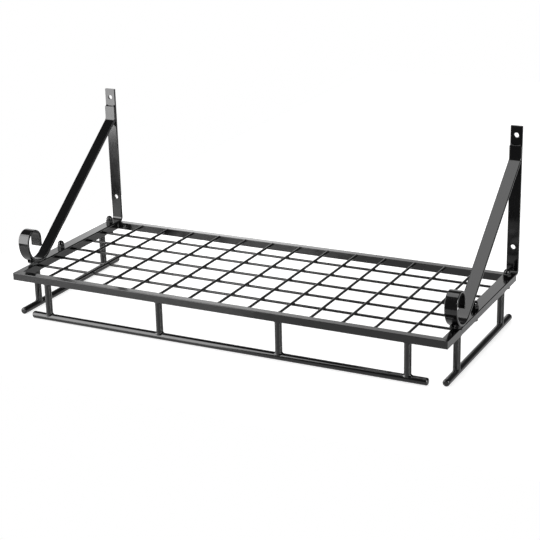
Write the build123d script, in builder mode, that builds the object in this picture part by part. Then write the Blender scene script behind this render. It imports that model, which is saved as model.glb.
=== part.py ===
from build123d import *
import os
from math import asin, atan2, cos, degrees, hypot, sin, sqrt

# Wall mounted pot rack: a wire shelf in a square-bar frame, two wall brackets with scrolled
# braces, and a round bar on short posts under three of the rails to hang pans from.
# Millimetres. +Z is up, +Y points to the wall, the origin is under the middle of the rack
# at the height of the hook bars' undersides.

# Shelf frame
frame_width = 610.0
frame_depth = 254.0
rail_size = 10.0
rail_edge_radius = 0.6

# Wire deck
wire_diameter = 3.4
wire_proud = 0.7
wire_bite = 0.2
cross_wire_count = 13
long_wire_count = 5

# Hook bars and their posts
hook_drop = 51.25
front_bar_diameter = 9.5
front_bar_end_gap = 25.0
side_bar_diameter = 9.0
side_bar_end_gap = 9.0
bar_end_radius = 2.2
post_diameter = 9.0
post_saddle_depth = 2.0
front_post_count = 4
front_post_inset = 26.0
side_post_inset = 37.0

# Wall brackets, bent from flat strip
strip_width = 16.0
strip_thickness = 3.0
strip_edge_radius = 1.0
bracket_setback = 40.0
plate_height = 196.0
plate_bend_radius = 3.0
screw_hole_diameter = 6.5
upper_screw_drop = 12.0
screw_spacing = 147.5

# Braces, bent from the same strip
scroll_setback = 9.5
scroll_radius = 28.5
scroll_rise = 3.0
curl_radius = 15.5
curl_end_length = 10.5
scroll_weld_flat = 0.2
tab_drop = 25.0
tab_length = 18.5
tab_bend_radius = 8.0

# Bolts and acorn nuts
bolt_diameter = 5.0
bolt_hole_clearance = 0.3
bolt_head_diameter = 9.0
bolt_head_height = 3.0
bolt_head_edge_radius = 1.2
bolt_engagement = 7.0
rear_bolt_inset = 24.0
bolt_spacing = 124.0
nut_across_flats = 9.5
nut_hex_height = 4.5
nut_chamfer = 0.6
nut_dome_diameter = 8.6
nut_height = 10.5
nut_bore_spare = 0.8

# Heights and places that follow from these
rail_bottom = hook_drop
rail_top = rail_bottom + rail_size
front_face = -frame_depth / 2
wall_face = frame_depth / 2
side_rail_x = frame_width / 2 - rail_size / 2
front_rail_y = front_face + rail_size / 2
inner_width = frame_width - 2 * rail_size
inner_depth = frame_depth - 2 * rail_size
cross_wire_z = rail_top + wire_proud - wire_diameter / 2
long_wire_z = cross_wire_z - wire_diameter + wire_bite
front_bar_length = frame_width - 2 * front_bar_end_gap
side_bar_length = frame_depth - 2 * side_bar_end_gap
strip_top = rail_top + strip_thickness
bracket_front = front_face + bracket_setback
plate_top = rail_top + plate_height
bolt_places = [wall_face - rear_bolt_inset - bolt_spacing, wall_face - rear_bolt_inset]
side_names = {"left": -1, "right": 1}

os.makedirs("parts", exist_ok=True)


# Shelf frame: four rails with mitred corners, the side rails bored for the bracket bolts
def rail_corners(length, inner_length, outer_edge, inner_edge):
    """Return the four corners of one mitred rail, outer edge first."""
    return [
        (-length / 2, outer_edge),
        (length / 2, outer_edge),
        (inner_length / 2, inner_edge),
        (-inner_length / 2, inner_edge),
    ]


for name, facing in {"front_rail": -1, "rear_rail": 1}.items():
    outer_edge = facing * frame_depth / 2
    inner_edge = facing * inner_depth / 2
    with BuildPart() as end_rail:
        with BuildSketch(Plane.XY.offset(rail_bottom)):
            with BuildLine():
                Polyline(rail_corners(frame_width, inner_width, outer_edge, inner_edge), close=True)
            make_face()
        extrude(amount=rail_size)
        fillet(end_rail.edges().filter_by(Axis.X), rail_edge_radius)
    end_rail.part.label = name
    export_step(end_rail.part, f"parts/{name}.step")

for side, facing in side_names.items():
    outer_edge = facing * frame_width / 2
    inner_edge = facing * inner_width / 2
    corners = rail_corners(frame_depth, inner_depth, outer_edge, inner_edge)
    with BuildPart() as side_rail:
        with BuildSketch(Plane.XY.offset(rail_bottom)):
            with BuildLine():
                Polyline([(x, y) for y, x in corners], close=True)
            make_face()
        extrude(amount=rail_size)
        fillet(side_rail.edges().filter_by(Axis.Y), rail_edge_radius)
        with Locations(*[(facing * side_rail_x, y, rail_top) for y in bolt_places]):
            Hole((bolt_diameter + bolt_hole_clearance) / 2, depth=rail_size)
    side_rail.part.label = f"{side}_rail"
    export_step(side_rail.part, f"parts/{side}_rail.step")


# Wire deck: front-to-back wires flush with the rails, side-to-side wires pressed up against them
cross_wire_places = [
    inner_width * (number / (cross_wire_count + 1) - 0.5) for number in range(1, cross_wire_count + 1)
]
long_wire_places = [
    inner_depth * (number / (long_wire_count + 1) - 0.5) for number in range(1, long_wire_count + 1)
]

for number, x in enumerate(cross_wire_places, start=1):
    with BuildPart() as cross_wire:
        with BuildSketch(Plane.XZ.offset(-inner_depth / 2)):
            with Locations((x, cross_wire_z)):
                Circle(wire_diameter / 2)
        extrude(amount=inner_depth)
    cross_wire.part.label = f"cross_wire_{number:02d}"
    export_step(cross_wire.part, f"parts/cross_wire_{number:02d}.step")

for number, y in enumerate(long_wire_places, start=1):
    with BuildPart() as long_wire:
        with BuildSketch(Plane.YZ.offset(-inner_width / 2)):
            with Locations((y, long_wire_z)):
                Circle(wire_diameter / 2)
        extrude(amount=inner_width)
        with BuildSketch(Plane.XZ.offset(-y - wire_diameter)):
            with Locations(*[(x, cross_wire_z) for x in cross_wire_places]):
                Circle(wire_diameter / 2)
        extrude(amount=2 * wire_diameter, mode=Mode.SUBTRACT)
    long_wire.part.label = f"long_wire_{number}"
    export_step(long_wire.part, f"parts/long_wire_{number}.step")


# Hook bars: round bar with eased ends, all resting at one level
with BuildPart() as front_hook_bar:
    with BuildSketch(Plane.YZ.offset(-front_bar_length / 2)):
        with Locations((front_rail_y, front_bar_diameter / 2)):
            Circle(front_bar_diameter / 2)
    extrude(amount=front_bar_length)
    fillet(front_hook_bar.edges().filter_by(GeomType.CIRCLE), bar_end_radius)
front_hook_bar.part.label = "front_hook_bar"
export_step(front_hook_bar.part, "parts/front_hook_bar.step")

for side, facing in side_names.items():
    with BuildPart() as side_hook_bar:
        with BuildSketch(Plane.XZ.offset(-side_bar_length / 2)):
            with Locations((facing * side_rail_x, side_bar_diameter / 2)):
                Circle(side_bar_diameter / 2)
        extrude(amount=side_bar_length)
        fillet(side_hook_bar.edges().filter_by(GeomType.CIRCLE), bar_end_radius)
    side_hook_bar.part.label = f"{side}_hook_bar"
    export_step(side_hook_bar.part, f"parts/{side}_hook_bar.step")


# Posts: round rod from the rail's underside, each coped to sit on its hook bar
front_post_reach = front_bar_length / 2 - front_post_inset
side_post_reach = side_bar_length / 2 - side_post_inset

for number in range(front_post_count):
    x = front_post_reach * (2 * number / (front_post_count - 1) - 1)
    foot = front_bar_diameter - post_saddle_depth
    with BuildPart() as front_post:
        with BuildSketch(Plane.XY.offset(foot)):
            with Locations((x, front_rail_y)):
                Circle(post_diameter / 2)
        extrude(amount=rail_bottom - foot)
        with BuildSketch(Plane.YZ.offset(x - post_diameter)):
            with Locations((front_rail_y, front_bar_diameter / 2)):
                Circle(front_bar_diameter / 2)
        extrude(amount=2 * post_diameter, mode=Mode.SUBTRACT)
    front_post.part.label = f"front_post_{number + 1}"
    export_step(front_post.part, f"parts/front_post_{number + 1}.step")

for side, facing in side_names.items():
    for end, direction in {"front": -1, "rear": 1}.items():
        y = direction * side_post_reach
        foot = side_bar_diameter - post_saddle_depth
        with BuildPart() as side_post:
            with BuildSketch(Plane.XY.offset(foot)):
                with Locations((facing * side_rail_x, y)):
                    Circle(post_diameter / 2)
            extrude(amount=rail_bottom - foot)
            with BuildSketch(Plane.XZ.offset(-y - post_diameter)):
                with Locations((facing * side_rail_x, side_bar_diameter / 2)):
                    Circle(side_bar_diameter / 2)
            extrude(amount=2 * post_diameter, mode=Mode.SUBTRACT)
        side_post.part.label = f"{side}_{end}_post"
        export_step(side_post.part, f"parts/{side}_{end}_post.step")


# Wall brackets: strip that lies on the side rail, bent up into the plate with two screw holes
for side, facing in side_names.items():
    middle = strip_thickness / 2
    with BuildPart() as wall_bracket:
        with BuildSketch(Plane.YZ.offset(facing * side_rail_x - strip_width / 2)):
            with BuildLine():
                FilletPolyline(
                    (bracket_front, rail_top + middle),
                    (wall_face - middle, rail_top + middle),
                    (wall_face - middle, plate_top),
                    radius=plate_bend_radius + middle,
                )
            trace(line_width=strip_thickness)
        extrude(amount=strip_width)
        fillet(wall_bracket.faces().filter_by(Axis.X).edges(), strip_edge_radius)
        with Locations(*[(facing * side_rail_x, y, strip_top) for y in bolt_places]):
            Hole((bolt_diameter + bolt_hole_clearance) / 2, depth=strip_thickness)
        upper_screw_z = plate_top - upper_screw_drop
        with BuildSketch(Plane.XZ.offset(-wall_face)):
            with Locations(*[(facing * side_rail_x, z) for z in (upper_screw_z, upper_screw_z - screw_spacing)]):
                Circle(screw_hole_diameter / 2)
        extrude(amount=strip_thickness, mode=Mode.SUBTRACT)
    wall_bracket.part.label = f"{side}_wall_bracket"
    export_step(wall_bracket.part, f"parts/{side}_wall_bracket.step")


# Braces: one strip each, from the scroll on the bracket up to a tab flat on the plate.
# The path runs down the middle of the strip, so each radius is less by half the thickness.
scroll_path_radius = scroll_radius - strip_thickness / 2
curl_path_radius = curl_radius - strip_thickness / 2
scroll_y = bracket_front + scroll_setback
scroll_z = strip_top + scroll_radius - scroll_weld_flat
curl_y = scroll_y - scroll_radius + curl_radius
curl_z = scroll_z + scroll_rise
tab_y = wall_face - strip_thickness * 1.5
tab_top = plate_top - tab_drop
knee_z = tab_top - tab_length

# The leg is the tangent from the scroll's underside to the knee below the tab
knee_distance = hypot(tab_y - scroll_y, knee_z - scroll_z)
leg_angle = atan2(knee_z - scroll_z, tab_y - scroll_y) + asin(scroll_path_radius / knee_distance)
leg_start = (
    scroll_y + scroll_path_radius * sin(leg_angle),
    scroll_z - scroll_path_radius * cos(leg_angle),
)

for side, facing in side_names.items():
    with BuildPart() as brace:
        with BuildSketch(Plane.YZ.offset(facing * side_rail_x - strip_width / 2)):
            with BuildLine():
                curl_end = (curl_y + curl_path_radius, curl_z - curl_end_length)
                Line(curl_end, (curl_y + curl_path_radius, curl_z))
                CenterArc((curl_y, curl_z), curl_path_radius, 0, 180)
                Line((curl_y - curl_path_radius, curl_z), (scroll_y - scroll_path_radius, scroll_z))
                CenterArc((scroll_y, scroll_z), scroll_path_radius, 180, 90 + degrees(leg_angle))
                FilletPolyline(leg_start, (tab_y, knee_z), (tab_y, tab_top), radius=tab_bend_radius)
            trace(line_width=strip_thickness)
        extrude(amount=strip_width)
        fillet(brace.faces().filter_by(Axis.X).edges(), strip_edge_radius)
        split(bisect_by=Plane.XY.offset(strip_top), keep=Keep.TOP)
    brace.part.label = f"{side}_brace"
    export_step(brace.part, f"parts/{side}_brace.step")


# Bolts and acorn nuts: up through the side rail and the bracket, capped on top
fastener_places = [(facing * side_rail_x, y) for facing in side_names.values() for y in bolt_places]

with BuildPart() as bracket_bolts:
    with BuildSketch(Plane.XY.offset(rail_bottom - bolt_head_height)):
        with Locations(*fastener_places):
            Circle(bolt_head_diameter / 2)
    extrude(amount=bolt_head_height)
    fillet(bracket_bolts.faces().group_by(Axis.Z)[0].edges(), bolt_head_edge_radius)
    with BuildSketch(Plane.XY.offset(rail_bottom)):
        with Locations(*fastener_places):
            Circle(bolt_diameter / 2)
    extrude(amount=rail_size + strip_thickness + bolt_engagement)
bracket_bolts.part.label = "bracket_bolts"
export_step(bracket_bolts.part, "parts/bracket_bolts.step")

nut_dome_radius = nut_dome_diameter / 2
nut_bore_depth = bolt_engagement + nut_bore_spare
with BuildPart() as acorn_nuts:
    with BuildSketch(Plane.XY.offset(strip_top)):
        with Locations(*fastener_places):
            RegularPolygon(nut_across_flats / 2, 6, major_radius=False)
    extrude(amount=nut_hex_height)
    chamfer(acorn_nuts.faces().group_by(Axis.Z)[-1].edges(), nut_chamfer)
    with BuildSketch(Plane.XY.offset(strip_top + nut_hex_height)):
        with Locations(*fastener_places):
            Circle(nut_dome_radius)
    extrude(amount=nut_height - nut_hex_height - nut_dome_radius)
    with Locations(*[(x, y, strip_top + nut_height - nut_dome_radius) for x, y in fastener_places]):
        Sphere(nut_dome_radius)
    with BuildSketch(Plane.XY.offset(strip_top)):
        with Locations(*fastener_places):
            Circle(bolt_diameter / 2)
    extrude(amount=nut_bore_depth, mode=Mode.SUBTRACT)
acorn_nuts.part.label = "acorn_nuts"
export_step(acorn_nuts.part, "parts/acorn_nuts.step")
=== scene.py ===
"""Looks of a wall mounted pot rack: gloss black enamel on welded steel.

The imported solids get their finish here, and the weld beads that join them are added. The rack stands
on a white table under soft studio lights. Lengths are in metres unless a name ends in _mm.
"""

import logging
import math
from collections.abc import Sequence
from dataclasses import dataclass, field
from enum import Enum

import bpy
import numpy as np
from mathutils import Matrix, Vector

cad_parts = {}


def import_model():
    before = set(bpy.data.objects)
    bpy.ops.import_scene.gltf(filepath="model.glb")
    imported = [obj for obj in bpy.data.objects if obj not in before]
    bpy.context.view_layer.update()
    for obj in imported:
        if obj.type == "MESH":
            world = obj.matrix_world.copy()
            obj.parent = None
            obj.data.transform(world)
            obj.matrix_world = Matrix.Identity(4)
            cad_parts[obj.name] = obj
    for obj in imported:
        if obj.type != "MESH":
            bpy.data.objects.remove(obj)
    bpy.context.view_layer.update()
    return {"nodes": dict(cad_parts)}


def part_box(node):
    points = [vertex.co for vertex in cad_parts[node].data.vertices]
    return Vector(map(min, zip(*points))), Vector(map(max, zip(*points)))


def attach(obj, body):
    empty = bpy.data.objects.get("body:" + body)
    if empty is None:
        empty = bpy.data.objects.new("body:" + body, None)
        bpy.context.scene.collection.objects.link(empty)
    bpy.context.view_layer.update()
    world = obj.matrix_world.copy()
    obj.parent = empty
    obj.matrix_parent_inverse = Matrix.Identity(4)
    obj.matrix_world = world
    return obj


LOG = logging.getLogger("pot_rack")
MM = 0.001
WHITE = (1.0, 1.0, 1.0, 1.0)
# Divisor where a direction round a post runs along its rail or its bar.
LEAST_DIVISOR = 1e-3
Array = np.ndarray
Socket = bpy.types.NodeSocket
Triple = tuple[float, float, float]
Pair = tuple[float, float]


class Slot(Enum):
    """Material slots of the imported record."""

    FRAME = "frame_enamel"
    WIRE = "wire_enamel"
    BAR = "bar_enamel"
    BRACKET = "bracket_enamel"
    FASTENER = "fastener_black"


class LampUse(Enum):
    """What a lamp is for, and the ray visibility that it goes without."""

    MIRRORED = "visible_diffuse"
    LIT = "visible_glossy"


class Side(Enum):
    """Side of a scroll's contact with its bracket, as the sign of y."""

    FRONT = -1
    REAR = 1


def linear(code: str) -> tuple[float, float, float, float]:
    """Turn an sRGB hex colour into linear red, green, blue and alpha.

    Each part follows the sRGB curve: a straight start, then a power of 2.4.

    Args:
        code: The colour, such as "#0b0b0c".

    Returns:
        Linear components with alpha 1, each from 0 to 1.
    """
    parts = [int(code[i : i + 2], 16) / 255 for i in (1, 3, 5)]
    red, green, blue = (c / 12.92 if c <= 0.04045 else ((c + 0.055) / 1.055) ** 2.4 for c in parts)
    return red, green, blue, 1.0


def add_node(tree: bpy.types.NodeTree, kind: str, settings: dict, links: dict) -> bpy.types.Node:
    """Add one node with its settings, socket values and incoming links.

    Args:
        tree: The node tree.
        kind: The node's type name without its ShaderNode prefix.
        settings: Attribute names and values; a key that starts with "in:" sets that input socket.
        links: Input socket names or numbers, and the output sockets that feed them.

    Returns:
        The new node.
    """
    node = tree.nodes.new(f"ShaderNode{kind}")
    for key, value in settings.items():
        if key.startswith("in:"):
            name = key.removeprefix("in:")
            node.inputs[int(name) if name.isdigit() else name].default_value = value
        else:
            setattr(node, key, value)
    for name, source in links.items():
        tree.links.new(source, node.inputs[int(name) if name.isdigit() else name])
    return node


def new_material(name: str) -> tuple[bpy.types.Material, bpy.types.NodeTree]:
    """Make an empty node material and return it with its tree.

    Args:
        name: The material's name.

    Returns:
        The material and its node tree.
    """
    material = bpy.data.materials.new(name)
    material.use_nodes = True
    material.node_tree.nodes.clear()
    return material, material.node_tree


@dataclass(frozen=True)
class Enamel:
    """Gloss black stoving enamel, sprayed on steel and baked.

    The baked film is smooth enough for crisp reflections. A faint orange peel bends them a little,
    the gloss changes slowly where it was sprayed thicker, and a few dust nibs stand in it.
    """

    name: str
    colour: str = "#060607"
    thin_colour: str = "#0c0c0d"
    ior: float = 1.5
    roughness: float = 0.11
    roughness_spread: float = 0.05
    cloud_mm: float = 45.0
    cloud_detail: float = 3.0
    cloud_range: Pair = (0.3, 0.7)
    peel_mm: float = 2.2
    peel_detail: float = 2.0
    peel_depth_mm: float = 0.004
    nib_spacing_mm: float = 9.0
    nib_core_mm: float = 0.18
    nib_edge_mm: float = 0.45
    nib_height_mm: float = 0.05
    nib_strength: float = 0.5

    def material(self) -> bpy.types.Material:
        """Build the enamel's material on object coordinates.

        Returns:
            The material.
        """
        material, tree = new_material(self.name)
        place = add_node(tree, "TexCoord", {}, {}).outputs["Object"]
        cloud = add_node(
            tree,
            "TexNoise",
            {"in:Scale": 1 / (self.cloud_mm * MM), "in:Detail": self.cloud_detail},
            {"Vector": place},
        )
        peel = add_node(
            tree,
            "TexNoise",
            {"in:Scale": 1 / (self.peel_mm * MM), "in:Detail": self.peel_detail},
            {"Vector": place},
        )
        nib = add_node(tree, "TexVoronoi", {"in:Scale": 1 / (self.nib_spacing_mm * MM)}, {"Vector": place})
        speck = add_node(
            tree,
            "MapRange",
            {
                "in:From Min": self.nib_core_mm / self.nib_spacing_mm,
                "in:From Max": self.nib_edge_mm / self.nib_spacing_mm,
                "in:To Min": 1.0,
                "in:To Max": 0.0,
            },
            {"Value": nib.outputs["Distance"]},
        )
        gloss = add_node(
            tree,
            "MapRange",
            {
                "in:From Min": self.cloud_range[0],
                "in:From Max": self.cloud_range[1],
                "in:To Min": self.roughness - self.roughness_spread / 2,
                "in:To Max": self.roughness + self.roughness_spread / 2,
            },
            {"Value": cloud.outputs["Fac"]},
        )
        tint = add_node(
            tree,
            "Mix",
            {"data_type": "RGBA", "in:6": linear(self.colour), "in:7": linear(self.thin_colour)},
            {"Factor": cloud.outputs["Fac"]},
        )
        skin = add_node(
            tree,
            "Bump",
            {"in:Strength": 1.0, "in:Distance": self.peel_depth_mm * MM},
            {"Height": peel.outputs["Fac"]},
        )
        nibbed = add_node(
            tree,
            "Bump",
            {"in:Strength": self.nib_strength, "in:Distance": self.nib_height_mm * MM},
            {"Height": speck.outputs["Result"], "Normal": skin.outputs["Normal"]},
        )
        shader = add_node(
            tree,
            "BsdfPrincipled",
            {"in:IOR": self.ior, "in:Metallic": 0.0},
            {
                "Base Color": tint.outputs["Result"],
                "Roughness": gloss.outputs["Result"],
                "Normal": nibbed.outputs["Normal"],
            },
        )
        add_node(tree, "OutputMaterial", {}, {"Surface": shader.outputs["BSDF"]})
        return material


@dataclass(frozen=True)
class PhotoCamera:
    """The camera at the photograph's viewing angle, solved from the edges of the frame and the wires."""

    eye_mm: Triple = (849.2, -1629.4, 710.9)
    aim_mm: Triple = (77.9, -127.0, 117.6)
    roll_deg: float = -1.43
    focal_mm: float = 99.3
    sensor_mm: float = 36.0
    nearest: float = 0.05
    farthest: float = 50.0

    def build(self) -> None:
        """Create the camera and make it the scene's."""
        data = bpy.data.cameras.new("photo_camera")
        data.lens = self.focal_mm
        data.sensor_width = self.sensor_mm
        data.clip_start, data.clip_end = self.nearest, self.farthest
        eye, aim = Vector(self.eye_mm) * MM, Vector(self.aim_mm) * MM
        forward = (aim - eye).normalized()
        right = forward.cross(Vector((0, 0, 1))).normalized()
        up = right.cross(forward)
        roll = math.radians(self.roll_deg)
        side = right * math.cos(roll) + up * math.sin(roll)
        top = side.cross(forward)
        camera = bpy.data.objects.new("photo_camera", data)
        columns = Matrix((side, top, -forward)).transposed()
        camera.matrix_world = Matrix.Translation(eye) @ columns.to_4x4()
        bpy.context.scene.collection.objects.link(camera)
        bpy.context.scene.camera = camera


@dataclass(frozen=True)
class Softbox:
    """A rectangular studio light that faces a point.

    The enamel mirrors it at one radiance and matt surfaces are lit at another, where 1 is white. The
    photograph is exposed until its table burns out, and the rack is lit at a plain level here.
    """

    name: str
    centre: Triple
    aim: Triple
    width: float
    height: float
    mirrored: float
    lit: float

    def build(self) -> None:
        """Create the lamp that gloss mirrors and, where there is one, the lamp that lights."""
        self.lamp(LampUse.MIRRORED, self.mirrored)
        if self.lit > 0:
            self.lamp(LampUse.LIT, self.lit)

    def lamp(self, use: LampUse, radiance: float) -> None:
        """Add one area lamp, whose power is its radiance times its area times pi.

        Args:
            use: What the lamp is for.
            radiance: How bright its face is.
        """
        data = bpy.data.lights.new(f"{self.name}_{use.name.lower()}", "AREA")
        data.shape = "RECTANGLE"
        data.size, data.size_y = self.width, self.height
        data.energy = radiance * math.pi * self.width * self.height
        light = bpy.data.objects.new(data.name, data)
        heading = Vector(self.aim) - Vector(self.centre)
        turn = heading.to_track_quat("-Z", "Y").to_matrix().to_4x4()
        light.matrix_world = Matrix.Translation(self.centre) @ turn
        light.visible_camera = False
        setattr(light, use.value, False)
        bpy.context.scene.collection.objects.link(light)


@dataclass
class Studio:
    """White table and white surroundings for the camera, and the studio that the enamel mirrors.

    Gloss sees the table, the lights, a dark room and a white wall at the rear left, with a bright patch
    on it. Edges of the wall are given as the limits between which it fades, on unit directions.
    """

    table_left: float = -0.48
    table_right: float = 2.0
    table_front: float = -0.3
    table_rear: float = 1.5
    table_white: str = "#d8d8d8"
    table_roughness: float = 0.1
    table_ior: float = 1.2
    camera_glow: float = 0.76
    mirror_glow: float = 0.45
    sweep_size: float = 30.0
    sweep_drop: float = 0.0005
    fill: float = 0.35
    dark_room: float = 0.12
    floor_beyond: float = 0.12
    horizon: Pair = (-0.02, 0.02)
    wall_white: float = 1.0
    wall_slope: float = 1.0
    wall_top: Pair = (-0.34, -0.22)
    wall_right: Pair = (-0.25, -0.05)
    wall_near: Pair = (-0.2, 0.1)
    patch_azimuth_deg: float = 29.0
    patch_elevation_deg: float = 17.0
    patch_flatness: float = 1.6
    patch_spread: float = 0.15
    patch_strength: float = 2.4
    lights: Sequence[Softbox] = (
        Softbox(
            "key_low",
            centre=(-1.209, -1.028, 0.565),
            aim=(-0.459, 0.032, 0.565),
            width=1.375,
            height=1.47,
            mirrored=7.3,
            lit=2.6,
        ),
        Softbox(
            "key_high",
            centre=(-1.209, -1.028, 1.725),
            aim=(-0.459, 0.032, 1.725),
            width=1.375,
            height=0.85,
            mirrored=5.6,
            lit=2.0,
        ),
        Softbox(
            "key_skirt",
            centre=(-0.839, -1.293, -0.26),
            aim=(-0.089, -0.233, -0.26),
            width=0.465,
            height=0.18,
            mirrored=7.3,
            lit=0.0,
        ),
        Softbox(
            "overhead",
            centre=(0.0, -0.035, 1.35),
            aim=(0.0, -0.035, 0.0),
            width=0.7,
            height=0.97,
            mirrored=2.75,
            lit=2.75,
        ),
        Softbox(
            "front_right",
            centre=(1.4, -0.6, 0.55),
            aim=(0.25, -0.15, 0.1),
            width=0.6,
            height=0.6,
            mirrored=20.0,
            lit=1.5,
        ),
    )

    def plane(self, name: str, low: Pair, high: Pair, z: float) -> bpy.types.Object:
        """Add one level rectangle from its low and high corners.

        Args:
            name: The object's name.
            low: Lowest x and y.
            high: Highest x and y.
            z: Its height.

        Returns:
            The new object, marked as part of the stage.
        """
        mesh = bpy.data.meshes.new(name)
        (left, front), (right, rear) = low, high
        outline = [(left, front, z), (right, front, z), (right, rear, z), (left, rear, z)]
        mesh.from_pydata(outline, [], [(0, 1, 2, 3)])
        thing = bpy.data.objects.new(name, mesh)
        bpy.context.scene.collection.objects.link(thing)
        return thing

    def table_material(self) -> bpy.types.Material:
        """White acrylic table top, polished: pale, with a soft mirror image at low angles.

        It glows by enough to show white to the camera, and keeps the rack's shadow.

        Returns:
            The material.
        """
        material, tree = new_material("white_table")
        paths = add_node(tree, "LightPath", {}, {})
        seen = add_node(
            tree,
            "Math",
            {"operation": "MULTIPLY", "in:1": self.camera_glow},
            {"0": paths.outputs["Is Camera Ray"]},
        )
        glow = add_node(
            tree,
            "Math",
            {"operation": "MULTIPLY_ADD", "in:1": self.mirror_glow},
            {"0": paths.outputs["Is Glossy Ray"], "2": seen.outputs[0]},
        )
        shader = add_node(
            tree,
            "BsdfPrincipled",
            {
                "in:Base Color": linear(self.table_white),
                "in:Roughness": self.table_roughness,
                "in:IOR": self.table_ior,
                "in:Emission Color": WHITE,
            },
            {"Emission Strength": glow.outputs[0]},
        )
        add_node(tree, "OutputMaterial", {}, {"Surface": shader.outputs["BSDF"]})
        return material

    def sweep_material(self) -> bpy.types.Material:
        """Plain white paper sweep beyond the table, which only the camera sees.

        Returns:
            The material.
        """
        material, tree = new_material("white_sweep")
        glow = add_node(tree, "Emission", {"in:Color": WHITE, "in:Strength": 1.0}, {})
        add_node(tree, "OutputMaterial", {}, {"Surface": glow.outputs["Emission"]})
        return material

    def wall_patch(self, tree: bpy.types.NodeTree, way: Socket) -> Socket:
        """Brightness of the wall: white, and more so towards the patch's centre.

        It falls as a smooth step of the distance between the way looked and the patch's centre, with
        heights stretched so that the patch is wider than it is high.

        Args:
            tree: The world's node tree.
            way: The unit direction that is looked in.

        Returns:
            The socket that gives the brightness.
        """
        azimuth, rise = math.radians(self.patch_azimuth_deg), math.radians(self.patch_elevation_deg)
        stretch = (1.0, 1.0, self.patch_flatness)
        toward = (
            -math.sin(azimuth) * math.cos(rise),
            math.cos(azimuth) * math.cos(rise),
            math.sin(rise),
        )
        centre = tuple(a * b for a, b in zip(toward, stretch))
        drawn = add_node(tree, "VectorMath", {"operation": "MULTIPLY", "in:1": stretch}, {"0": way})
        away = add_node(
            tree, "VectorMath", {"operation": "DISTANCE", "in:1": centre}, {"0": drawn.outputs["Vector"]}
        )
        eased = add_node(
            tree,
            "MapRange",
            {
                "interpolation_type": "SMOOTHSTEP",
                "in:From Min": 0.0,
                "in:From Max": self.patch_spread,
                "in:To Min": self.wall_white + self.patch_strength,
                "in:To Max": self.wall_white,
            },
            {"Value": away.outputs["Value"]},
        )
        return eased.outputs[0]

    def world(self) -> None:
        """White for the camera and a plain fill for matt surfaces; for gloss, the room and its wall.

        The wall is cut off in turn by its top, its right edge, its near edge and the horizon. Each cut
        mixes what lies beyond it into what was left, by a smooth step. The top slopes: it is taken on
        z less the slope times y.
        """
        world = bpy.data.worlds.new("studio")
        world.use_nodes = True
        tree = world.node_tree
        tree.nodes.clear()
        way = add_node(tree, "TexCoord", {}, {}).outputs["Generated"]
        axes = add_node(tree, "SeparateXYZ", {}, {"Vector": way})
        over_top = add_node(
            tree,
            "Math",
            {"operation": "MULTIPLY_ADD", "in:1": -self.wall_slope},
            {"0": axes.outputs["Y"], "2": axes.outputs["Z"]},
        )
        # A cut keeps the room below its limits or above them, as shares at its lower and upper limit.
        below, above = (1.0, 0.0), (0.0, 1.0)
        cuts = (
            (over_top.outputs[0], self.wall_top, below, self.dark_room),
            (axes.outputs["X"], self.wall_right, below, self.dark_room),
            (axes.outputs["Y"], self.wall_near, above, self.dark_room),
            (axes.outputs["Z"], self.horizon, above, self.floor_beyond),
        )
        room = self.wall_patch(tree, way)
        for source, limits, kept, beyond in cuts:
            share = add_node(
                tree,
                "MapRange",
                {
                    "interpolation_type": "SMOOTHSTEP",
                    "in:From Min": limits[0],
                    "in:From Max": limits[1],
                    "in:To Min": kept[0],
                    "in:To Max": kept[1],
                },
                {"Value": source},
            )
            mixed = add_node(
                tree, "Mix", {"data_type": "FLOAT", "in:2": beyond}, {"0": share.outputs[0], "3": room}
            )
            room = mixed.outputs[0]
        paths = add_node(tree, "LightPath", {}, {})
        unseen = add_node(
            tree,
            "Mix",
            {"data_type": "FLOAT", "in:2": self.fill},
            {"0": paths.outputs["Is Glossy Ray"], "3": room},
        )
        strength = add_node(
            tree,
            "Mix",
            {"data_type": "FLOAT", "in:3": 1.0},
            {"0": paths.outputs["Is Camera Ray"], "2": unseen.outputs[0]},
        )
        glow = add_node(tree, "Background", {"in:Color": WHITE}, {"Strength": strength.outputs[0]})
        add_node(tree, "OutputWorld", {}, {"Surface": glow.outputs["Background"]})
        bpy.context.scene.world = world

    def build(self) -> None:
        """Lay the table and the sweep, set the world and hang the lights."""
        front_left, rear_right = (self.table_left, self.table_front), (self.table_right, self.table_rear)
        table = self.plane("table", front_left, rear_right, 0.0)
        table.data.materials.append(self.table_material())
        half = self.sweep_size / 2
        sweep = self.plane("sweep", (-half, -half), (half, half), -self.sweep_drop)
        sweep.data.materials.append(self.sweep_material())
        for ray in ("diffuse", "glossy", "transmission", "volume_scatter", "shadow"):
            setattr(sweep, f"visible_{ray}", False)
        self.world()
        for light in self.lights:
            light.build()
        bpy.context.scene.view_settings.view_transform = "Standard"


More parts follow.
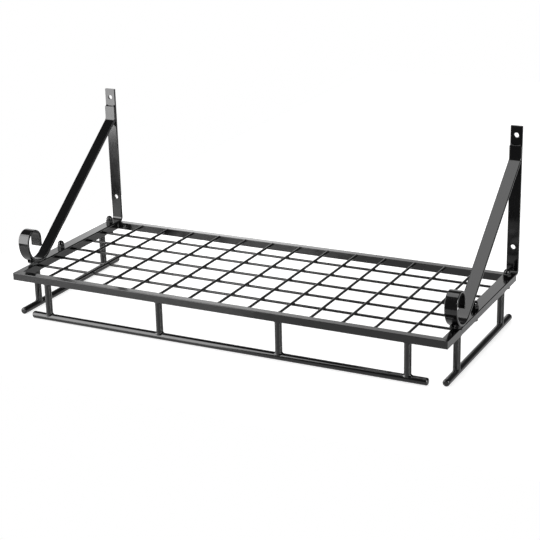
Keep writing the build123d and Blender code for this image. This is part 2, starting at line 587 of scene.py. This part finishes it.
@dataclass
class Surface:
    """One closed surface, or several side by side: its points, its quads and the fans at its ends."""

    points: Array
    quads: Array
    fans: Array = field(default_factory=lambda: np.empty((0, 3), dtype=int))

    @classmethod
    def ring(cls, loops: Array) -> "Surface":
        """Join loops of points into a closed tube that runs round on itself.

        Args:
            loops: Points of shape (stations, points round the section, 3). The section turns
                anticlockwise about the way from one station to the next.

        Returns:
            The surface, of quads only.
        """
        stations, around = loops.shape[:2]
        index = np.arange(stations * around).reshape(stations, around)
        ahead, beside = np.roll(index, -1, axis=0), np.roll(index, -1, axis=1)
        quads = np.stack([index, beside, np.roll(ahead, -1, axis=1), ahead], axis=-1)
        return cls(loops.reshape(-1, 3), quads.reshape(-1, 4))

    @classmethod
    def rod(cls, loops: Array) -> "Surface":
        """Join loops of points into an open tube and cap both its ends with a fan.

        Args:
            loops: Points of shape (stations, points round the section, 3), turning as for a ring.

        Returns:
            The surface, with the middles of its first and last loop as its last two points.
        """
        stations, around = loops.shape[:2]
        index = np.arange(stations * around).reshape(stations, around)
        near, far = index[:-1], index[1:]
        quads = np.stack([near, np.roll(near, -1, axis=1), np.roll(far, -1, axis=1), far], axis=-1)
        first, last = stations * around, stations * around + 1
        start, end = index[0], index[-1]
        opening = np.stack([np.full(around, first), np.roll(start, -1), start], axis=-1)
        closing = np.stack([np.full(around, last), end, np.roll(end, -1)], axis=-1)
        tips = np.stack([loops[0].mean(axis=0), loops[-1].mean(axis=0)])
        points = np.vstack([loops.reshape(-1, 3), tips])
        return cls(points, quads.reshape(-1, 4), np.vstack([opening, closing]))

    @classmethod
    def join(cls, parts: Sequence["Surface"]) -> "Surface":
        """Put several surfaces side by side in one.

        Args:
            parts: The surfaces.

        Returns:
            One surface, with each part's points numbered after those before it.
        """
        starts = np.cumsum([0] + [len(part.points) for part in parts])
        points = np.vstack([part.points for part in parts])
        quads = np.vstack([part.quads + start for start, part in zip(starts, parts)])
        fans = np.vstack([part.fans + start for start, part in zip(starts, parts)])
        return cls(points, quads, fans)

    def repeated(self, places: Array) -> "Surface":
        """Copy the surface to each of several places, given as one offset per row."""
        return Surface.join([Surface(self.points + place, self.quads, self.fans) for place in places])

    def piece(self, name: str, material: bpy.types.Material, slot: Slot) -> bpy.types.Object:
        """Make the surface a smooth-shaded piece of the rack.

        Args:
            name: The piece's name.
            material: Its finish.
            slot: Not used.

        Returns:
            The new object, with its place in its mesh.
        """
        mesh = bpy.data.meshes.new(name)
        mesh.from_pydata(self.points.tolist(), [], self.quads.tolist() + self.fans.tolist())
        mesh.polygons.foreach_set("use_smooth", np.ones(len(mesh.polygons), dtype=bool))
        mesh.materials.append(material)
        mesh.update()
        thing = bpy.data.objects.new(name, mesh)
        bpy.context.scene.collection.objects.link(thing)
        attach(thing, "root")
        LOG.info("made %s: %d faces", name, len(mesh.polygons))
        return thing


def corners(name: str) -> tuple[Array, Array]:
    """Lowest and highest corner of a CAD node as arrays."""
    low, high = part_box(name)
    return np.array(low), np.array(high)


def points_at(x: Array | float, y: Array | float, z: Array | float) -> Array:
    """Points as rows of x, y and z, each one number or an array with a value per station."""
    return np.column_stack(np.broadcast_arrays(x, y, z))


def softened_limit(value: Array | float, limit: Array, power: float = 4.0) -> Array:
    """Smaller of two, blended: each to minus the power, added up, and the root of that taken back."""
    return (value**-power + limit**-power) ** (-1 / power)


def arc(start: Array, middle: Array, end: Array, steps: int) -> Array:
    """Quadratic curve from start to end, drawn towards middle.

    With t from 0 to 1, it is (1 - t) squared of start, 2 t (1 - t) of middle and t squared of end.

    Args:
        start: First points, of shape (stations, 3).
        middle: Points that pull the curve.
        end: Last points.
        steps: Points along each curve.

    Returns:
        Points of shape (stations, steps, 3).
    """
    t = np.linspace(0, 1, steps)[None, :, None]
    return (1 - t) ** 2 * start[:, None] + 2 * t * (1 - t) * middle[:, None] + t**2 * end[:, None]


@dataclass(frozen=True)
class Wave:
    """Unevenness along a hand-laid bead: a sine wave that the bead's place shifts, so none are alike.

    The depth is a share of the bead's size. The run is the wave's angle over the bead's length, and
    the shift its angle per metre of the bead's place, both in radians.
    """

    depth: float
    run: float
    shift: float

    def along(self, share: Array, place: float, offset: float = 0.0) -> Array:
        """Factor on the bead's size: one plus the depth times the sine of run, shift and offset added."""
        return 1 + self.depth * np.sin(self.run * share + self.shift * place + offset)


@dataclass
class PostWelds:
    """Weld beads round the top and the foot of every post.

    Each section is a quadratic curve from the post to what it is welded to, closed inside both
    metals. A leg is a bead's width out from the post, and a pull says how hollow the curve is, as
    shares of its leg and its height.
    """

    top_leg: float = 2.0 * MM
    top_drop: float = 2.0 * MM
    top_pull: Pair = (0.25, 0.25)
    foot_leg: float = 2.1 * MM
    foot_rise: float = 1.8 * MM
    foot_pull: Pair = (0.3, 0.15)
    foot_least_leg: float = 0.3
    bar_share: float = 0.985
    sink: float = 0.3 * MM
    root: float = 1.0 * MM
    margin: float = 0.05 * MM
    unevenness: float = 0.08
    slow_wave: int = 3
    quick_wave: int = 7
    quick_share: float = 0.6
    quick_seed: float = 2.3
    top_seed: float = 1.7
    foot_seed: float = 2.9
    foot_first_seed: float = 0.5
    stations: int = 40
    steps: int = 7

    def directions(self) -> tuple[Array, Array]:
        """Angles round a post, and the unit vectors that point that way."""
        turn = np.linspace(0, 2 * np.pi, self.stations, endpoint=False)
        return turn, np.column_stack([np.cos(turn), np.sin(turn)])

    def ripple(self, turn: Array, seed: float) -> Array:
        """Uneven width: one plus a slow sine wave round the post and a quick one that is less deep."""
        quick = self.quick_share * np.sin(self.quick_wave * turn + self.quick_seed * seed)
        return 1 + self.unevenness * (np.sin(self.slow_wave * turn + seed) + quick)

    def around(self, centre: Array, out: Array, radius: Array | float, z: Array | float) -> Array:
        """Points at a radius and height round a post, one per station.

        Args:
            centre: The post's axis, x and y.
            out: Unit vectors from the axis, of shape (stations, 2).
            radius: Distance from the axis.
            z: Height of each point.

        Returns:
            Points of shape (stations, 3).
        """
        return points_at(centre[0] + out[:, 0] * radius, centre[1] + out[:, 1] * radius, z)

    def top(self, post: str, rail: str, seed: float) -> Surface:
        """Fillet between a post and the underside of its rail, narrower where the rail's edge is near.

        At each angle its leg is its uneven width, softly limited by the room: half the rail's width,
        divided by how far the angle points across the rail, less the post's radius.

        Args:
            post: The post's node.
            rail: The rail that it hangs from.
            seed: Shifts the bead's unevenness.

        Returns:
            The bead, closed inside both metals.
        """
        low, high = corners(post)
        rail_low, rail_high = corners(rail)
        width = int(np.argmin((rail_high - rail_low)[:2]))
        centre, radius = (low + high)[:2] / 2, (high[0] - low[0]) / 2
        turn, out = self.directions()
        half = (rail_high - rail_low)[width] / 2 - self.margin
        room = half / np.maximum(np.abs(out[:, width]), LEAST_DIVISOR) - radius
        leg = softened_limit(self.top_leg * self.ripple(turn, seed), room)
        under = rail_low[2]
        bulge, sag = self.top_pull
        start = self.around(centre, out, radius - self.margin, under - self.top_drop)
        pull = self.around(centre, out, radius + bulge * leg, under - sag * self.top_drop)
        end = self.around(centre, out, radius + leg, under + self.margin)
        inside = self.around(centre, out, radius - self.root, under + self.sink)
        loops = np.concatenate([arc(start, pull, end, self.steps), inside[:, None]], axis=1)
        return Surface.ring(loops[:, ::-1])

    def foot(self, post: str, bar: str, seed: float) -> Surface:
        """Saddle-shaped bead where a post stands on its round hook bar.

        Its lower edge follows the bar: the height of the bar's axis plus the root of its radius
        squared less the square of the distance across the bar, which stays short of the radius.

        Args:
            post: The post's node.
            bar: The hook bar under it.
            seed: Shifts the bead's unevenness.

        Returns:
            The bead, closed inside both metals.
        """
        low, high = corners(post)
        bar_low, bar_high = corners(bar)
        side = int(np.argmin((bar_high - bar_low)[:2]))
        centre, radius = (low + high)[:2] / 2, (high[0] - low[0]) / 2
        bar_radius, axis_height = (bar_high - bar_low)[side] / 2, (bar_low[2] + bar_high[2]) / 2
        turn, out = self.directions()
        offset = np.abs(out[:, side])
        brink = self.bar_share * bar_radius

        def on_bar(reach: Array | float) -> Array:
            """Height of the bar's round surface at a distance from the post's axis."""
            return axis_height + np.sqrt(bar_radius**2 - np.minimum(offset * reach, brink) ** 2)

        wide = radius + self.foot_leg * self.ripple(turn, seed)
        reach = softened_limit(wide, brink / np.maximum(offset, LEAST_DIVISOR))
        edge = np.maximum(on_bar(radius), low[2])
        leg = np.maximum(reach - radius, 0) + self.foot_least_leg * self.foot_leg
        bulge, lift = self.foot_pull
        buried = np.minimum(radius, bar_radius) - self.root
        start = self.around(centre, out, radius - self.margin, edge + self.foot_rise)
        pull = self.around(centre, out, radius + bulge * leg, edge + lift * self.foot_rise)
        end = self.around(centre, out, reach, on_bar(reach) - self.margin)
        inside = self.around(centre, out, buried, on_bar(buried) - self.root)
        return Surface.ring(np.concatenate([arc(start, pull, end, self.steps), inside[:, None]], axis=1))

    def build(self, nodes: Sequence[str], material: bpy.types.Material) -> None:
        """Make both beads of every post.

        Args:
            nodes: All node names.
            material: The posts' enamel.
        """
        tops, feet = [], []
        for count, post in enumerate(name for name in nodes if "post" in name):
            side = post.split("_")[0]
            tops.append(self.top(post, f"{side}_rail", self.top_seed * count))
            foot_seed = self.foot_seed * count + self.foot_first_seed
            feet.append(self.foot(post, f"{side}_hook_bar", foot_seed))
        Surface.join(tops).piece("post_top_welds", material, Slot.BAR)
        Surface.join(feet).piece("post_foot_welds", material, Slot.BAR)


@dataclass
class WireWelds:
    """Spot welds: small upset lumps where wires cross and where they meet the rails."""

    end_radii: Triple = (2.3 * MM, 1.7 * MM, 1.78 * MM)
    end_depth: float = 0.5 * MM
    crossing_radii: Triple = (2.3 * MM, 2.3 * MM, 0.8 * MM)
    end_rings: int = 6
    end_sides: int = 12
    crossing_rings: int = 4
    crossing_sides: int = 8

    def lump(self, radii: Triple, rings: int, sides: int) -> Surface:
        """Ellipsoid about the origin: a sphere's circles of latitude, scaled by three radii.

        Args:
            radii: Half its size along x, y and z.
            rings: Circles between its poles.
            sides: Points round each circle.

        Returns:
            The closed ellipsoid.
        """
        rise = np.pi * (np.arange(1, rings + 1) / (rings + 1) - 0.5)
        turn = np.linspace(0, 2 * np.pi, sides, endpoint=False)
        level, angle = np.meshgrid(rise, turn, indexing="ij")
        across = np.cos(level)
        circles = np.stack([across * np.cos(angle), across * np.sin(angle), np.sin(level)], axis=-1)
        ball = Surface.rod(circles)
        # The fans' middles go out to the poles.
        ball.points[-2:, 2] = (-1, 1)
        return Surface(ball.points * np.array(radii), ball.quads, ball.fans)

    def build(self, nodes: Sequence[str], material: bpy.types.Material) -> None:
        """Weld every wire end to its rail and every crossing.

        Args:
            nodes: All node names.
            material: The wires' enamel.
        """
        cross = [corners(name) for name in nodes if name.startswith("cross_wire")]
        long = [corners(name) for name in nodes if name.startswith("long_wire")]
        along_y, along_x = [], []
        for low, high in cross:
            x, z = (low[0] + high[0]) / 2, (low[2] + high[2]) / 2
            along_y += [(x, low[1] + self.end_depth, z), (x, high[1] - self.end_depth, z)]
        for low, high in long:
            y, z = (low[1] + high[1]) / 2, (low[2] + high[2]) / 2
            along_x += [(low[0] + self.end_depth, y, z), (high[0] - self.end_depth, y, z)]
        lump = self.lump(self.end_radii, self.end_rings, self.end_sides)
        # Swapping x and y turns the lump inside out, so its faces are reversed.
        turned = Surface(lump.points[:, [1, 0, 2]], lump.quads[:, ::-1], lump.fans[:, ::-1])
        ends = Surface.join([lump.repeated(np.array(along_y)), turned.repeated(np.array(along_x))])
        ends.piece("wire_end_welds", material, Slot.WIRE)
        contact = (cross[0][0][2] + long[0][1][2]) / 2
        x = np.array([(low[0] + high[0]) / 2 for low, high in cross])
        y = np.array([(low[1] + high[1]) / 2 for low, high in long])
        grid_x, grid_y = np.meshgrid(x, y)
        places = points_at(grid_x.ravel(), grid_y.ravel(), contact)
        dot = self.lump(self.crossing_radii, self.crossing_rings, self.crossing_sides)
        dot.repeated(places).piece("wire_crossing_welds", material, Slot.WIRE)


@dataclass
class FrameWelds:
    """Seams of the mitred frame: a low ground seam across each mitre and a bead in each inner corner.

    Both fade at their ends as a sine to a low power, taken a blunt share short of the very end.
    """

    seam_width: float = 2.4 * MM
    seam_rise: float = 0.16 * MM
    seam_tuck: float = 0.02 * MM
    seam_start: float = 0.06
    seam_length: float = 0.9
    seam_blunt: float = 0.02
    seam_fade: float = 0.4
    seam_wave: Wave = Wave(depth=0.12, run=11, shift=60)
    bead_leg: float = 1.6 * MM
    bead_pull: float = 0.3
    bead_tuck: float = 0.05 * MM
    bead_blunt: float = 0.04
    bead_fade: float = 0.35
    bead_wave: Wave = Wave(depth=0.03, run=15, shift=40)
    clearance: float = 0.5 * MM
    sink: float = 0.3 * MM
    stations: int = 18
    steps: int = 7

    def seam(self, outer: Array, inner: Array, z: float, up: int) -> Surface:
        """Lens-shaped seam across one mitre: half a cosine wave across it, faded along it.

        Its width is waved along it too. It starts a little in from the outer corner and stops short
        of the inner one, by shares of the mitre's length.

        Args:
            outer: The frame's outer corner, x and y.
            inner: Its inner corner.
            z: Height of the face that the seam lies on.
            up: 1 on the top face, -1 on the underside.

        Returns:
            The seam, closed under the face.
        """
        along = np.linspace(0, 1, self.stations)
        across = np.linspace(-1, 1, self.steps)
        way = (inner - outer) / np.linalg.norm(inner - outer)
        side = np.array([-way[1], way[0]])
        fade = np.sin(np.pi * np.clip(along, self.seam_blunt, 1 - self.seam_blunt)) ** self.seam_fade
        half = self.seam_width / 2 * fade * self.seam_wave.along(along, outer[0])
        middle = outer + (self.seam_start + self.seam_length * along)[:, None] * (inner - outer)
        flat = middle[:, None] + (across[None, :, None] * half[:, None, None]) * side
        rise = self.seam_rise * np.cos(np.pi / 2 * across)[None] * fade[:, None] - self.seam_tuck
        top = np.concatenate([flat, (z + up * rise)[..., None]], axis=-1)
        below = points_at(middle[:, 0], middle[:, 1], z - up * self.sink)
        loops = np.concatenate([top, below[:, None]], axis=1)
        return Surface.rod(loops if up < 0 else loops[:, ::-1])

    def bead(self, corner: Array, inward: Array, low: float, high: float) -> Surface:
        """Concave fillet that stands in an inner corner of the frame.

        At each height a quadratic curve joins the two rails, a leg from the corner along each, and is
        pulled towards a point that lies a share of the leg from both.

        Args:
            corner: The corner, x and y.
            inward: Signs of x and y towards the middle of the frame.
            low: Height where the bead starts.
            high: Height where it ends.

        Returns:
            The bead, closed inside the rails.
        """
        share = np.linspace(0, 1, self.stations)
        shorter = self.bead_blunt + (1 - 2 * self.bead_blunt) * share
        fade = np.sin(np.pi * shorter) ** self.bead_fade
        leg = self.bead_leg * fade * self.bead_wave.along(share, corner[1])
        level = low + (high - low) * share

        def at(right: Array | float, deep: Array | float) -> Array:
            """Points up the bead at distances from the corner along x and along y."""
            return points_at(corner[0] + inward[0] * right, corner[1] + inward[1] * deep, level)

        middle = self.bead_pull * leg
        curve = arc(at(leg, -self.bead_tuck), at(middle, middle), at(-self.bead_tuck, leg), self.steps)
        loops = np.concatenate([curve, at(-self.sink, -self.sink)[:, None]], axis=1)
        return Surface.rod(loops if inward[0] * inward[1] > 0 else loops[:, ::-1])

    def build(self, material: bpy.types.Material) -> None:
        """Make the seams and beads of all four corners.

        Args:
            material: The rails' enamel.
        """
        low, high = corners("front_rail")
        far = corners("rear_rail")[1]
        width = high[1] - low[1]
        parts = []
        for x_sign in (-1, 1):
            for y_sign in (-1, 1):
                outer = np.array([low[0] if x_sign < 0 else high[0], low[1] if y_sign < 0 else far[1]])
                inward = np.array([-x_sign, -y_sign])
                inner = outer + inward * width
                parts.append(self.seam(outer, inner, high[2], 1))
                parts.append(self.seam(outer, inner, low[2], -1))
                parts.append(self.bead(inner, inward, low[2] + self.clearance, high[2] - self.clearance))
        Surface.join(parts).piece("frame_corner_welds", material, Slot.FRAME)


@dataclass
class BracketWelds:
    """Weld across the top of each brace's tab, and beads in front of and behind each scroll's foot.

    Each section is a quadratic curve, closed inside both metals. A scroll bead's size is its reach
    along the bracket's strip and its rise up the scroll.
    """

    strip: float = 3.0 * MM
    edge_inset: float = 0.8 * MM
    tab_rise: float = 0.9 * MM
    tab_corner_rise: float = 2.6 * MM
    tab_corner_power: float = 2.5
    tab_end_slope: float = 6.0
    tab_end: float = 0.35
    tab_wave: Wave = Wave(depth=0.06, run=16, shift=100)
    tab_pull: float = 0.75
    tab_bulge: float = 0.15 * MM
    tab_lap: float = 0.25 * MM
    tab_bed: float = 0.5 * MM
    plate_lap: float = 0.05 * MM
    scroll_radius: float = 28.5 * MM
    front_size: Pair = (13.2 * MM, 4.3 * MM)
    rear_size: Pair = (10.5 * MM, 2.7 * MM)
    scroll_wave: Wave = Wave(depth=0.13, run=19, shift=80)
    scroll_taper: float = 0.25
    scroll_taper_power: float = 4.0
    scroll_toe: float = 1.2 * MM
    scroll_pull: Pair = (1.02, 0.35)
    scroll_lap: float = 0.1 * MM
    scroll_core: float = 3.0 * MM
    sink: float = 0.4 * MM
    stations: int = 34
    steps: int = 8

    def stations_across(self, low: Array, high: Array) -> tuple[Array, Array, Array]:
        """Places across a strip, a little inside both its edges.

        Args:
            low: The brace's lowest corner.
            high: Its highest corner.

        Returns:
            Shares from 0 to 1, distances from the strip's middle from 1 through 0 to 1, and x.
        """
        share = np.linspace(0, 1, self.stations)
        x = low[0] + self.edge_inset + share * (high[0] - low[0] - 2 * self.edge_inset)
        return share, np.abs(2 * share - 1), x

    def tab(self, brace: str) -> Surface:
        """Bead between the tab's top edge and the wall plate, thickest near the tab's two corners.

        Its height grows by a power of the distance from the strip's middle, is waved, and falls off
        in a straight slope at the very ends.

        Args:
            brace: The brace's node.

        Returns:
            The bead, closed inside both metals.
        """
        low, high = corners(brace)
        share, spread, x = self.stations_across(low, high)
        thicker = (self.tab_corner_rise - self.tab_rise) * spread**self.tab_corner_power
        ends = np.clip(self.tab_end_slope * (1 - spread) + self.tab_end, 0, 1)
        rise = (self.tab_rise + thicker) * self.tab_wave.along(share, low[0]) * ends
        plate, face, edge = high[1], high[1] - self.strip, high[2]
        start = points_at(x, plate + self.plate_lap, edge + rise)
        pull = points_at(x, face - self.tab_bulge, edge + self.tab_pull * rise)
        end = points_at(x, face + self.tab_lap, edge - self.tab_lap)
        inside = points_at(x, plate + self.sink, edge - self.tab_bed)
        return Surface.rod(np.concatenate([arc(start, pull, end, self.steps), inside[:, None]], axis=1))

    def scroll_bead(self, brace: str, side: Side) -> Surface:
        """Bead in the wedge between the scroll and the bracket that it stands on.

        Reach and rise are waved, less a taper by a power of the distance from the strip's middle. It
        meets the scroll where a circle of the scroll's radius has climbed by the rise.

        Args:
            brace: The brace's node.
            side: In front of the contact or behind it.

        Returns:
            The bead, closed inside both metals.
        """
        low, high = corners(brace)
        share, spread, x = self.stations_across(low, high)
        contact, floor, toward = low[1] + self.scroll_radius, low[2], side.value
        wave = self.scroll_wave.along(share, low[0], toward)
        wave = wave - self.scroll_taper * spread**self.scroll_taper_power
        full_reach, full_rise = self.front_size if side is Side.FRONT else self.rear_size
        reach, rise = full_reach * wave, full_rise * wave
        on_scroll = np.sqrt(2 * self.scroll_radius * rise - rise**2)
        out, lift = self.scroll_pull
        start = points_at(x, contact + toward * (reach + self.scroll_toe), floor)
        pull = points_at(x, contact + toward * out * reach, floor + lift * rise)
        end = points_at(x, contact + toward * (on_scroll - self.scroll_lap), floor + rise + self.scroll_lap)
        inside = points_at(x, contact + toward * self.scroll_core, floor - self.sink / 2)
        loops = np.concatenate([arc(start, pull, end, self.steps), inside[:, None]], axis=1)
        return Surface.rod(loops if side is Side.REAR else loops[:, ::-1])

    def build(self, material: bpy.types.Material) -> None:
        """Weld both braces.

        Args:
            material: The brackets' enamel.
        """
        braces = ("left_brace", "right_brace")
        Surface.join([self.tab(brace) for brace in braces]).piece("tab_welds", material, Slot.BRACKET)
        beads = [self.scroll_bead(brace, side) for brace in braces for side in Side]
        Surface.join(beads).piece("scroll_welds", material, Slot.BRACKET)


@dataclass
class Finishes:
    """The enamel of each group of parts, matched to how that group mirrors the lights."""

    rails: Enamel = Enamel("rail_enamel")
    wires: Enamel = Enamel("wire_enamel", roughness=0.14, ior=1.42)
    bars: Enamel = Enamel("bar_enamel", roughness=0.1)
    brackets: Enamel = Enamel("bracket_enamel", roughness=0.12)
    fasteners: Enamel = Enamel("fastener_enamel", roughness=0.12, ior=1.45)
    made: dict[Slot, bpy.types.Material] = field(default_factory=dict)

    def dress(self, nodes: dict[str, bpy.types.Object]) -> None:
        """Give every CAD node its group's enamel, by its slot in the record.

        Args:
            nodes: The CAD nodes by name.
        """
        groups = {
            Slot.FRAME: self.rails,
            Slot.WIRE: self.wires,
            Slot.BAR: self.bars,
            Slot.BRACKET: self.brackets,
            Slot.FASTENER: self.fasteners,
        }
        self.made = {slot: enamel.material() for slot, enamel in groups.items()}
        for name, node in nodes.items():
            for place in node.material_slots:
                place.material = self.made[Slot(place.material.name.split(".")[0])]
            LOG.info("dressed %s", name)


def main() -> None:
    """Load the frame and build the scene."""
    logging.basicConfig(level=logging.INFO, format="%(name)s: %(message)s")
    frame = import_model()
    PhotoCamera().build()
    Studio().build()
    finishes = Finishes()
    finishes.dress(frame["nodes"])
    names = sorted(frame["nodes"])
    PostWelds().build(names, finishes.made[Slot.BAR])
    WireWelds().build(names, finishes.made[Slot.WIRE])
    FrameWelds().build(finishes.made[Slot.FRAME])
    BracketWelds().build(finishes.made[Slot.BRACKET])


if __name__ == "__main__":
    main()
